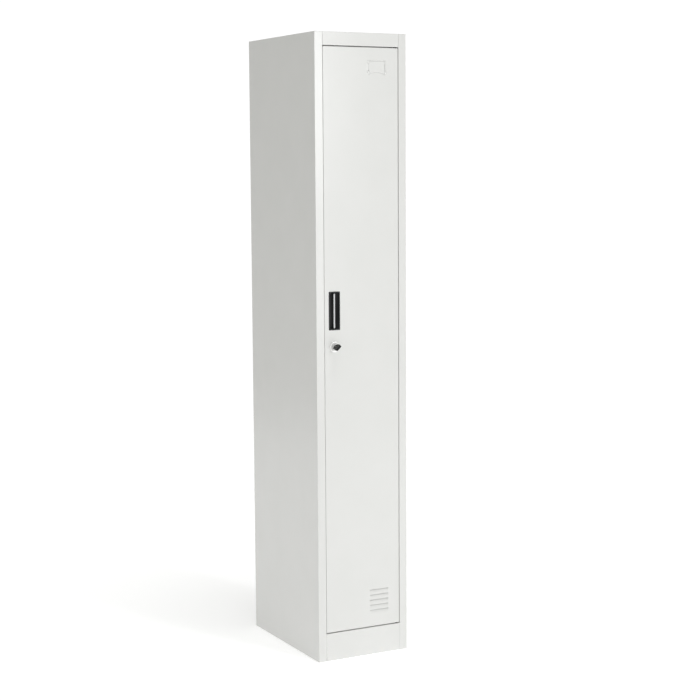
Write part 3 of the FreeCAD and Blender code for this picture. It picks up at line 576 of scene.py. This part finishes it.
def door_outline(inset):
    """The door's outline seen from the front, reaching a little further on the latch side."""
    corner = PAN_CORNER - inset * CORNER_SHRINK
    outline = rounded(door.width / 2 - inset, door.height / 2 - inset, corner)
    return [(across - LATCH_REACH if across < 0 else across, up) for across, up in outline]


def vent_levels():
    """The heights of the louvres' slits."""
    first = door.bottom + VENT_FROM_BOTTOM
    return [first + row * VENT_PITCH for row in range(VENT_COUNT)]


def vent_depth(x, drop):
    """How far a louvre is pressed in, at a place along it and a distance below its slit."""
    ramp = max(1.0 - drop / VENT_TALL, 0.0) ** VENT_CURVE
    from_end = min(x - vent_left, vent_right - x)
    return VENT_DEPTH * ramp * ease(from_end, VENT_END)


def vent_columns():
    """The upright grid lines of one louvre's patch."""
    return grid_between(vent_left - VENT_MARGIN, vent_right + VENT_MARGIN, FINE_GRID)


def vent_rows(level):
    """The level grid lines of one louvre's patch; its slit lies on one of them."""
    below = grid_between(level - VENT_TALL - VENT_MARGIN, level, FINE_GRID)
    above = grid_between(level, level + VENT_MARGIN, GRID)
    return below + above[1:]


def add_vent(surface, level):
    """One louvre: the flat skin above its slit, and the tongue pressed in below it."""
    xs = vent_columns()
    rows = vent_rows(level)
    below = [z for z in rows if z <= level]
    above = [z for z in rows if z >= level]

    def opening(x, z):
        return SLIT_HALF if z == level and vent_depth(x, 0.0) > 0.0 else 0.0

    def tongue(x, z):
        return Vector((x, FRONT + vent_depth(x, level - z), z - opening(x, z)))

    def brow(x, z):
        return Vector((x, FRONT, z + opening(x, z)))

    add_grid(surface, xs, below, tongue)
    add_grid(surface, xs, above, brow)


def card_relief(x, z):
    """How far the card holder stands out at a place: four ears, two straps, two grooves."""
    across = abs(x - card_x)
    up = z - card_z
    side = across - CARD_HALF_WIDTH
    out = across / CARD_HALF_WIDTH
    reach = CARD_EAR_HALF * (CARD_EAR_OUT if side > 0 else CARD_EAR_IN)
    ears = max(
        bulge(side, up - end * CARD_EAR_UP, reach, CARD_EAR_HALF) for end in CARD_EAR_ENDS
    )
    strap = bulge(side, up, CARD_EAR_HALF, 2 * CARD_EAR_HALF) if side > 0 else 0.0
    arch = CARD_FOOT - CARD_ARCH * out ** 3
    inner = ease(-side, CARD_GROOVE_HALF)
    grooves = bulge(0.0, up - CARD_TOP, 1.0, CARD_GROOVE_HALF) * inner
    grooves += bulge(0.0, up - arch, 1.0, CARD_GROOVE_HALF * (1 + out)) * inner
    return CARD_EAR * ears + CARD_STRAP * strap - CARD_GROOVE * grooves


def card_lines():
    """The grid lines of the card holder's patch; the slits lie between two of them."""
    slit = CARD_HALF_WIDTH + CARD_SLIT
    edge = CARD_HALF_WIDTH + CARD_MARGIN
    right = grid_between(slit, edge, GRID)
    middle = grid_between(-CARD_HALF_WIDTH, CARD_HALF_WIDTH, GRID)
    xs = [-x for x in reversed(right)] + middle + right
    reach = CARD_TOP + CARD_MARGIN
    zs = grid_between(-reach, reach, FINE_GRID)
    return [card_x + x for x in xs], [card_z + z for z in zs]


def add_card_holder(surface):
    """The patch of the door that is pressed into a card holder, with its two slits."""
    xs, zs = card_lines()

    def pressed(x, z):
        return Vector((x, FRONT - card_relief(x, z), z))

    def solid(x, z):
        across = abs(x - card_x)
        in_slit = CARD_HALF_WIDTH < across < CARD_HALF_WIDTH + CARD_SLIT
        return not (in_slit and abs(z - card_z) < CARD_SLIT_HALF)

    add_grid(surface, xs, zs, pressed, solid)


def door_holes():
    """The loops that the flat of the door leaves open or leaves to a pressed patch."""
    window = rounded(pull.width / 2 - PULL_LAP, pull.height / 2 - PULL_LAP, PULL_HOLE_CORNER)
    bore = circle(LOCK_HOLE)
    holes = [
        [(pull.x + across, pull.z + up) for across, up in window],
        [(ring.x + across, ring.z + up) for across, up in bore],
        grid_outline(*card_lines()),
    ]
    holes.extend(grid_outline(vent_columns(), vent_rows(level)) for level in vent_levels())
    return holes


def door_skin():
    """The folded door: a pan with rounded bends, pressed louvres and card holder."""
    surface = Surface()
    profile = [
        (BEND * (1 - math.sin(angle)), FRONT + BEND * (1 - math.cos(angle)))
        for angle in arc(0, QUARTER, BEND_STEPS)
    ]
    profile.append((0.0, door.back - BEND))
    loops = [facing(door_outline(inset), door.x, y, door.z) for inset, y in profile]
    for first, second in zip(loops, loops[1:]):
        surface.strip_between(first, second)
    places, faces = flat_region([(p.x, p.z) for p in loops[0]], door_holes())
    surface.add([Vector((p.x, FRONT, p.y)) for p in places], faces)
    for level in vent_levels():
        add_vent(surface, level)
    add_card_holder(surface)
    for side in (-1, 1):
        add_return(surface, side)
    thicken(add_piece("door_skin", surface.mesh("door_skin"), "door", "body_paint", "door_panel"))


def add_return(surface, side):
    """The flange folded inwards at the back of one long side of the door."""
    reach = LATCH_REACH if side < 0 else 0.0
    wall = door.x + side * (door.width / 2 + reach)
    low = door.bottom + PAN_CORNER
    high = door.top - PAN_CORNER
    path = [
        (wall - side * BEND * (1 - math.cos(angle)), door.back - BEND * (1 - math.sin(angle)))
        for angle in arc(0, QUARTER, BEND_STEPS)
    ]
    path.append((wall - side * DOOR_RETURN, door.back))
    lower = [Vector((x, y, low)) for x, y in path]
    upper = [Vector((x, y, high)) for x, y in path]
    surface.strip_between(lower, upper, closed=False)


def thicken(piece):
    """Gives a single-faced sheet its thickness, inwards."""
    solid = piece.modifiers.new("sheet", "SOLIDIFY")
    solid.thickness = SHEET
    solid.offset = -1.0
    solid.use_even_offset = True
    keep_flats_flat(piece)


# ---------------------------------------------------------------------------------------
# Pull handle
# ---------------------------------------------------------------------------------------

BEZEL_CORNER = 2.2 * MM
BEZEL_EDGE = 0.8 * MM
BEZEL_BORDER = 3.4 * MM
CUP_WALL = 1.6 * MM
CUP_BEHIND = 2.25 * MM
CUP_DRAFT = 0.4 * MM
BEZEL_SHRINK = 0.25
GRIP_EDGE = 1.2 * MM
GRIP_CROWN = 0.25 * MM
GRIP_STEPS = 8
STRIP_TRIM = 0.2 * MM
STRIP_EDGE = 0.3 * MM
STRIP_CORNER = 1.0 * MM


def fillet(inset, y, radius, start, end, steps=4):
    """(inset, y) pairs round a quarter circle centred at (inset, y)."""
    return [
        (inset + radius * math.cos(angle), y + radius * math.sin(angle))
        for angle in arc(start, end, steps)
    ]


def pull_cup():
    """The black cup and its bezel, as loops from the back of the cup round to its floor."""
    edge = BEZEL_EDGE
    floor_y = pull.back - CUP_WALL
    wall = BEZEL_BORDER + CUP_DRAFT
    profile = [(CUP_BEHIND + edge, pull.back), (CUP_BEHIND, pull.back - edge)]
    profile += [(CUP_BEHIND, FRONT), (0.0, FRONT)]
    profile += fillet(edge, pull.front + edge, edge, HALF_TURN, 3 * QUARTER)
    profile += fillet(BEZEL_BORDER - edge, pull.front + edge, edge, 3 * QUARTER, 2 * HALF_TURN)
    profile += fillet(wall + edge, floor_y - edge, edge, HALF_TURN, QUARTER)
    loops = []
    for inset, y in profile:
        corner = BEZEL_CORNER - inset * BEZEL_SHRINK
        outline = rounded(pull.width / 2 - inset, pull.height / 2 - inset, corner)
        loops.append(facing(outline, pull.x, y, pull.z))
    piece = add_piece("pull_cup", loft("pull_cup", loops), "door", "handle_black", "handle_cup")
    keep_flats_flat(piece)


def pull_grip():
    """The bar that the fingers curl behind: crowned in front, rounded at its free edge."""
    face = grip.front + GRIP_CROWN
    section = [(grip.right, grip.back), (grip.right, face)]
    for share in arc(0, 1, GRIP_STEPS):
        across = grip.right - share * (grip.width - GRIP_EDGE)
        section.append((across, grip.front + GRIP_CROWN * (2 * share - 1) ** 2))
    free = arc(3 * QUARTER, QUARTER, GRIP_STEPS)[1:]
    middle = grip.left + GRIP_EDGE
    section += [
        (middle + GRIP_EDGE * math.cos(angle), face + GRIP_EDGE * (1 + math.sin(angle)))
        for angle in free
    ]
    section.append((middle + GRIP_EDGE, grip.back))
    low = [Vector((x, y, grip.bottom)) for x, y in section]
    high = [Vector((x, y, grip.top)) for x, y in section]
    piece = add_piece("pull_grip", loft("pull_grip", [low, high]), "door", "grip_black", "handle_grip")
    keep_flats_flat(piece)


def pull_strip():
    """The silver strip, with softly domed edges, trimmed to the grip's free edge."""
    profile = [(0.0, strip.back)]
    profile += fillet(STRIP_EDGE, strip.front + STRIP_EDGE, STRIP_EDGE, HALF_TURN, 3 * QUARTER)
    loops = []
    for inset, y in profile:
        half = strip.width / 2 - STRIP_TRIM - inset
        outline = rounded(half, strip.height / 2 - STRIP_TRIM - inset, STRIP_CORNER - inset)
        loops.append(facing(outline, strip.x - STRIP_TRIM, y, strip.z))
    piece = add_piece("pull_strip", loft("pull_strip", loops), "door", "strip_silver", "handle_strip")
    keep_flats_flat(piece)


# ---------------------------------------------------------------------------------------
# Lock
# ---------------------------------------------------------------------------------------

RING_CREST = 12.2 * MM
RING_DISH = 0.9 * MM
RING_SHOULDER = 0.45
RING_STEPS = 8
RING_POINTS = 72
BARREL = 9.2 * MM
BORE = 7.05 * MM


def lock_ring():
    """The chrome shell: a rolled ring round a shallow dish, and the barrel behind it."""
    radius = ring.width / 2
    shoulder = (FRONT - ring.front) * RING_SHOULDER
    profile = [(radius, FRONT), (radius, ring.front + shoulder)]
    for angle in arc(0, QUARTER, RING_STEPS)[1:]:
        out = RING_CREST + (radius - RING_CREST) * math.cos(angle)
        profile.append((out, ring.front + shoulder * (1 - math.sin(angle))))
    for share in arc(0, 1, RING_STEPS)[1:]:
        along = RING_CREST - share * (RING_CREST - BORE)
        profile.append((along, ring.front + RING_DISH * math.sin(share * QUARTER)))
    profile += [(BORE, ring.back), (BARREL, ring.back), (BARREL, FRONT)]
    loops = [facing(circle(reach, RING_POINTS), ring.x, y, ring.z) for reach, y in profile]
    piece = add_piece("lock_ring", tube("lock_ring", loops), "door", "lock_chrome", "lock_housing")
    piece.data.set_sharp_from_angle(angle=CREASE_ANGLE)


# ---------------------------------------------------------------------------------------
# Small parts
# ---------------------------------------------------------------------------------------

RIVET_HEAD = 3.2 * MM
RIVET_POINTS = 24
RIVET_ROWS = 6
RIVET_PIT = 0.9 * MM
RIVET_PIT_FLOOR = 0.7 * MM
RIVET_PIT_DEPTH = 0.6 * MM
DOME_SWEEP = math.radians(72)
DOME_STEPS = 6
TUBE_WALL = 1.2 * MM
TUBE_EDGE = 0.3 * MM
TUBE_POINTS = 64


def back_rivets():
    """Domed blind rivet heads on the back, in two rows."""
    box = Box("back_panel_rivets")
    surface = Surface()
    span = box.height - 2 * RIVET_HEAD
    for side in (-1, 1):
        for row in range(RIVET_ROWS):
            z = box.bottom + RIVET_HEAD + span * row / (RIVET_ROWS - 1)
            add_dome(surface, side * (box.right - RIVET_HEAD), z, box.back, carcass.back)
    piece = add_piece(
        "back_rivet_heads", surface.mesh("back_rivet_heads"), "cabinet", "rivet_aluminium",
        "back_panel_rivets",
    )
    piece.data.set_sharp_from_angle(angle=CREASE_ANGLE)


def add_dome(surface, x, z, tip_y, base_y):
    """A domed head with the small pit that the broken mandrel leaves."""
    rise = (tip_y - base_y) / math.sin(DOME_SWEEP)
    profile = [(RIVET_HEAD, base_y)]
    for angle in arc(0, DOME_SWEEP, DOME_STEPS):
        profile.append((RIVET_HEAD * math.cos(angle), base_y + rise * math.sin(angle)))
    profile += [(RIVET_PIT, tip_y), (RIVET_PIT_FLOOR, tip_y - RIVET_PIT_DEPTH)]
    loops = [facing(circle(radius, RIVET_POINTS), x, y, z) for radius, y in profile]
    for first, second in zip(loops, loops[1:]):
        surface.strip_between(first, second)
    surface.cap(loops[0])
    surface.cap(loops[-1])


def coat_tube():
    """The coat rail, an open-ended tube."""
    outer = rail.height / 2
    inner = outer - TUBE_WALL
    profile = [
        (outer, rail.left + TUBE_EDGE), (outer, rail.right - TUBE_EDGE),
        (outer - TUBE_EDGE, rail.right), (inner + TUBE_EDGE, rail.right),
        (inner, rail.right - TUBE_EDGE), (inner, rail.left + TUBE_EDGE),
        (inner + TUBE_EDGE, rail.left), (outer - TUBE_EDGE, rail.left),
    ]
    loops = [
        [Vector((x, rail.y + along, rail.z + up)) for along, up in circle(radius, TUBE_POINTS)]
        for radius, x in profile
    ]
    piece = add_piece("coat_tube", tube("coat_tube", loops), "cabinet", "rail_chrome", "coat_rail")
    piece.data.set_sharp_from_angle(angle=CREASE_ANGLE)


# ---------------------------------------------------------------------------------------
# The locker
# ---------------------------------------------------------------------------------------

REFINED = {
    "cabinet": {
        "body_paint": (
            "side_panel_left", "side_panel_right", "top_panel", "plinth", "bottom_panel",
            "back_panel", "hat_shelf", "shelf_support_left", "shelf_support_right",
            "rail_bracket_left", "rail_bracket_right",
        ),
        "zinc_steel": ("pivot_pin_top", "pivot_pin_bottom"),
        "rivet_aluminium": ("rail_bracket_rivets",),
        "buffer_rubber": ("door_buffers",),
    },
    "door": {
        "body_paint": ("door_stiffener",),
        "zinc_steel": ("handle_clips", "lock_nut"),
        "bush_nylon": ("pivot_bush_top", "pivot_bush_bottom"),
    },
    "lock": {
        "lock_chrome": ("lock_cylinder",),
        "zinc_steel": ("lock_cam", "cam_washer", "cam_screw"),
    },
    "key": {"key_steel": ("key_blade",)},
    "key_head": {"key_steel": ("key_fold_pin",)},
}
FINE_EDGE = 0.25 * MM
KEY_EDGE = 0.8 * MM
KEY_SEGMENTS = 3


def refine_the_rest():
    """The pieces whose CAD shape is right get rounded edges and a real finish."""
    for body, slots in REFINED.items():
        for slot, nodes in slots.items():
            for node in nodes:
                refined(node, body, slot, FINE_EDGE)


def key_head():
    """The two moulded halves of the key's head, with softened edges."""
    for node in ("key_head_lower", "key_head_upper"):
        refined(node, "key_head", "key_black", KEY_EDGE, KEY_SEGMENTS)


door_skin()
pull_cup()
pull_grip()
pull_strip()
lock_ring()
back_rivets()
coat_tube()
key_head()
refine_the_rest()

# ---------------------------------------------------------------------------------------
# Studio
# ---------------------------------------------------------------------------------------

SENSOR = 36.0
CAMERA_PLACE = Vector((-2.258, -4.407, 1.475))
CAMERA_YAW = math.radians(27.93)
CAMERA_PITCH = math.radians(6.57)
CAMERA_ROLL = math.radians(-0.33)
LENS = 83.36
VIEW_END = 200.0
FLOOR_RINGS = (1.0, 2.5, 4.5)
FLOOR_POINTS = 64
FLOOR_GLOW = 0.46
FAR_GLOW = 0.6
GLOW_NEAR = 0.3
GLOW_FAR = 2.0
BACKDROP_STRENGTH = 1.05
SKY_TINT = (1.0, 1.0, 0.96)
SKY_STRENGTH = 0.5
CEILING_TINT = (0.15, 0.15, 0.14)
CEILING_START = 0.6
CEILING_END = 0.8
KEY_TINT = (0.98, 0.99, 1.0)
SUN_STRENGTH = 0.75
SUN_ELEVATION = math.radians(76)
SUN_AZIMUTH = math.radians(-5)
SUN_SPREAD = math.radians(24)
SUN_DISTANCE = 5.0
SOFTBOX_PLACE = (1.05, -3.15)
SOFTBOX_WIDTH = 0.4
HIGH_HEIGHT = 2.2
HIGH_AIM = 1.6
HIGH_LENGTH = 1.6
HIGH_POWER = 23.0
LOW_HEIGHT = 0.95
LOW_AIM = 0.9
LOW_LENGTH = 0.9
LOW_POWER = 5.2


def floor():
    """A wide pale disc that glows more away from the locker, like a lit studio sweep."""
    surface = Surface()
    loops = [
        [Vector((across, up, 0.0)) for across, up in circle(radius, FLOOR_POINTS)]
        for radius in FLOOR_RINGS
    ]
    surface.cap(loops[0])
    for first, second in zip(loops, loops[1:]):
        surface.strip_between(first, second)
    disc = bpy.data.objects.new("studio_floor", surface.mesh("studio_floor"))
    bpy.context.scene.collection.objects.link(disc)
    finish = Finish("studio_floor", (0.95, 0.95, 0.95), 0.7)
    finish.vary_colour(finish.noise(0.8, 2.0), (0.94, 0.94, 0.94), (0.96, 0.96, 0.96))
    finish.shader.inputs["Emission Color"].default_value = (1.0, 1.0, 1.0, 1.0)
    away = finish.node("ShaderNodeVectorMath")
    away.operation = "LENGTH"
    glow = finish.node(
        "ShaderNodeMapRange", From_Min=GLOW_NEAR, From_Max=GLOW_FAR, To_Min=FLOOR_GLOW, To_Max=FAR_GLOW
    )
    finish.link(finish.place(), away.inputs[0])
    finish.link(away.outputs["Value"], glow.inputs["Value"])
    finish.link(glow.outputs["Result"], finish.shader.inputs["Emission Strength"])
    disc.data.materials.append(finish.material)


def sky():
    """Soft light from all round with a dark ceiling, seen as white by the camera."""
    world = bpy.data.worlds.new("studio")
    bpy.context.scene.world = world
    world.use_nodes = True
    tree = world.node_tree
    tree.nodes.clear()
    output = tree.nodes.new("ShaderNodeOutputWorld")
    light = tree.nodes.new("ShaderNodeBackground")
    backdrop = tree.nodes.new("ShaderNodeBackground")
    path = tree.nodes.new("ShaderNodeLightPath")
    mix = tree.nodes.new("ShaderNodeMixShader")
    where = tree.nodes.new("ShaderNodeTexCoord")
    split = tree.nodes.new("ShaderNodeSeparateXYZ")
    ceiling = tree.nodes.new("ShaderNodeValToRGB")
    ends = ceiling.color_ramp.elements
    ends[0].position, ends[0].color = CEILING_START, (*SKY_TINT, 1.0)
    ends[1].position, ends[1].color = CEILING_END, (*CEILING_TINT, 1.0)
    tree.links.new(where.outputs["Generated"], split.inputs["Vector"])
    tree.links.new(split.outputs["Z"], ceiling.inputs["Fac"])
    tree.links.new(ceiling.outputs["Color"], light.inputs["Color"])
    light.inputs["Strength"].default_value = SKY_STRENGTH
    backdrop.inputs["Color"].default_value = (1.0, 1.0, 1.0, 1.0)
    backdrop.inputs["Strength"].default_value = BACKDROP_STRENGTH
    tree.links.new(path.outputs["Is Camera Ray"], mix.inputs["Fac"])
    tree.links.new(light.outputs["Background"], mix.inputs[1])
    tree.links.new(backdrop.outputs["Background"], mix.inputs[2])
    tree.links.new(mix.outputs["Shader"], output.inputs["Surface"])


def add_light(name, kind, place, target, energy):
    """A lamp at a place, pointed at its target, that the camera doesn't see."""
    lamp = bpy.data.lights.new(name, kind)
    lamp.energy = energy
    lamp.color = KEY_TINT
    holder = bpy.data.objects.new(name, lamp)
    bpy.context.scene.collection.objects.link(holder)
    holder.location = place
    holder.rotation_mode = "QUATERNION"
    holder.rotation_quaternion = (Vector(target) - Vector(place)).to_track_quat("-Z", "Y")
    holder.visible_camera = False
    holder.visible_glossy = kind != "SUN"
    return lamp


def add_softbox(name, height, aim, length, power):
    """A tall narrow box of light in front, to the right, pointed at the locker's axis."""
    lamp = add_light(name, "AREA", (*SOFTBOX_PLACE, height), (0.0, 0.0, aim), power)
    lamp.shape = "RECTANGLE"
    lamp.size = SOFTBOX_WIDTH
    lamp.size_y = length


def lights():
    """A soft high key light, and two boxes that put a sheen on the left stile."""
    level = math.cos(SUN_ELEVATION)
    towards = Vector((
        level * math.sin(SUN_AZIMUTH), -level * math.cos(SUN_AZIMUTH), math.sin(SUN_ELEVATION)
    ))
    sun = add_light("key", "SUN", towards * SUN_DISTANCE, (0.0, 0.0, 0.0), SUN_STRENGTH)
    sun.angle = SUN_SPREAD
    add_softbox("high_softbox", HIGH_HEIGHT, HIGH_AIM, HIGH_LENGTH, HIGH_POWER)
    add_softbox("low_softbox", LOW_HEIGHT, LOW_AIM, LOW_LENGTH, LOW_POWER)


def camera():
    """A long lens at about shoulder height, turned to show the front and the left side."""
    data = bpy.data.cameras.new("camera")
    data.sensor_width = SENSOR
    data.lens = LENS
    data.clip_end = VIEW_END
    holder = bpy.data.objects.new("camera", data)
    bpy.context.scene.collection.objects.link(holder)
    turn = (
        Matrix.Rotation(-CAMERA_YAW, 4, "Z")
        @ Matrix.Rotation(QUARTER - CAMERA_PITCH, 4, "X")
        @ Matrix.Rotation(CAMERA_ROLL, 4, "Z")
    )
    holder.matrix_world = Matrix.Translation(CAMERA_PLACE) @ turn
    bpy.context.scene.camera = holder


floor()
sky()
lights()
camera()
bpy.context.scene.view_settings.view_transform = "Standard"
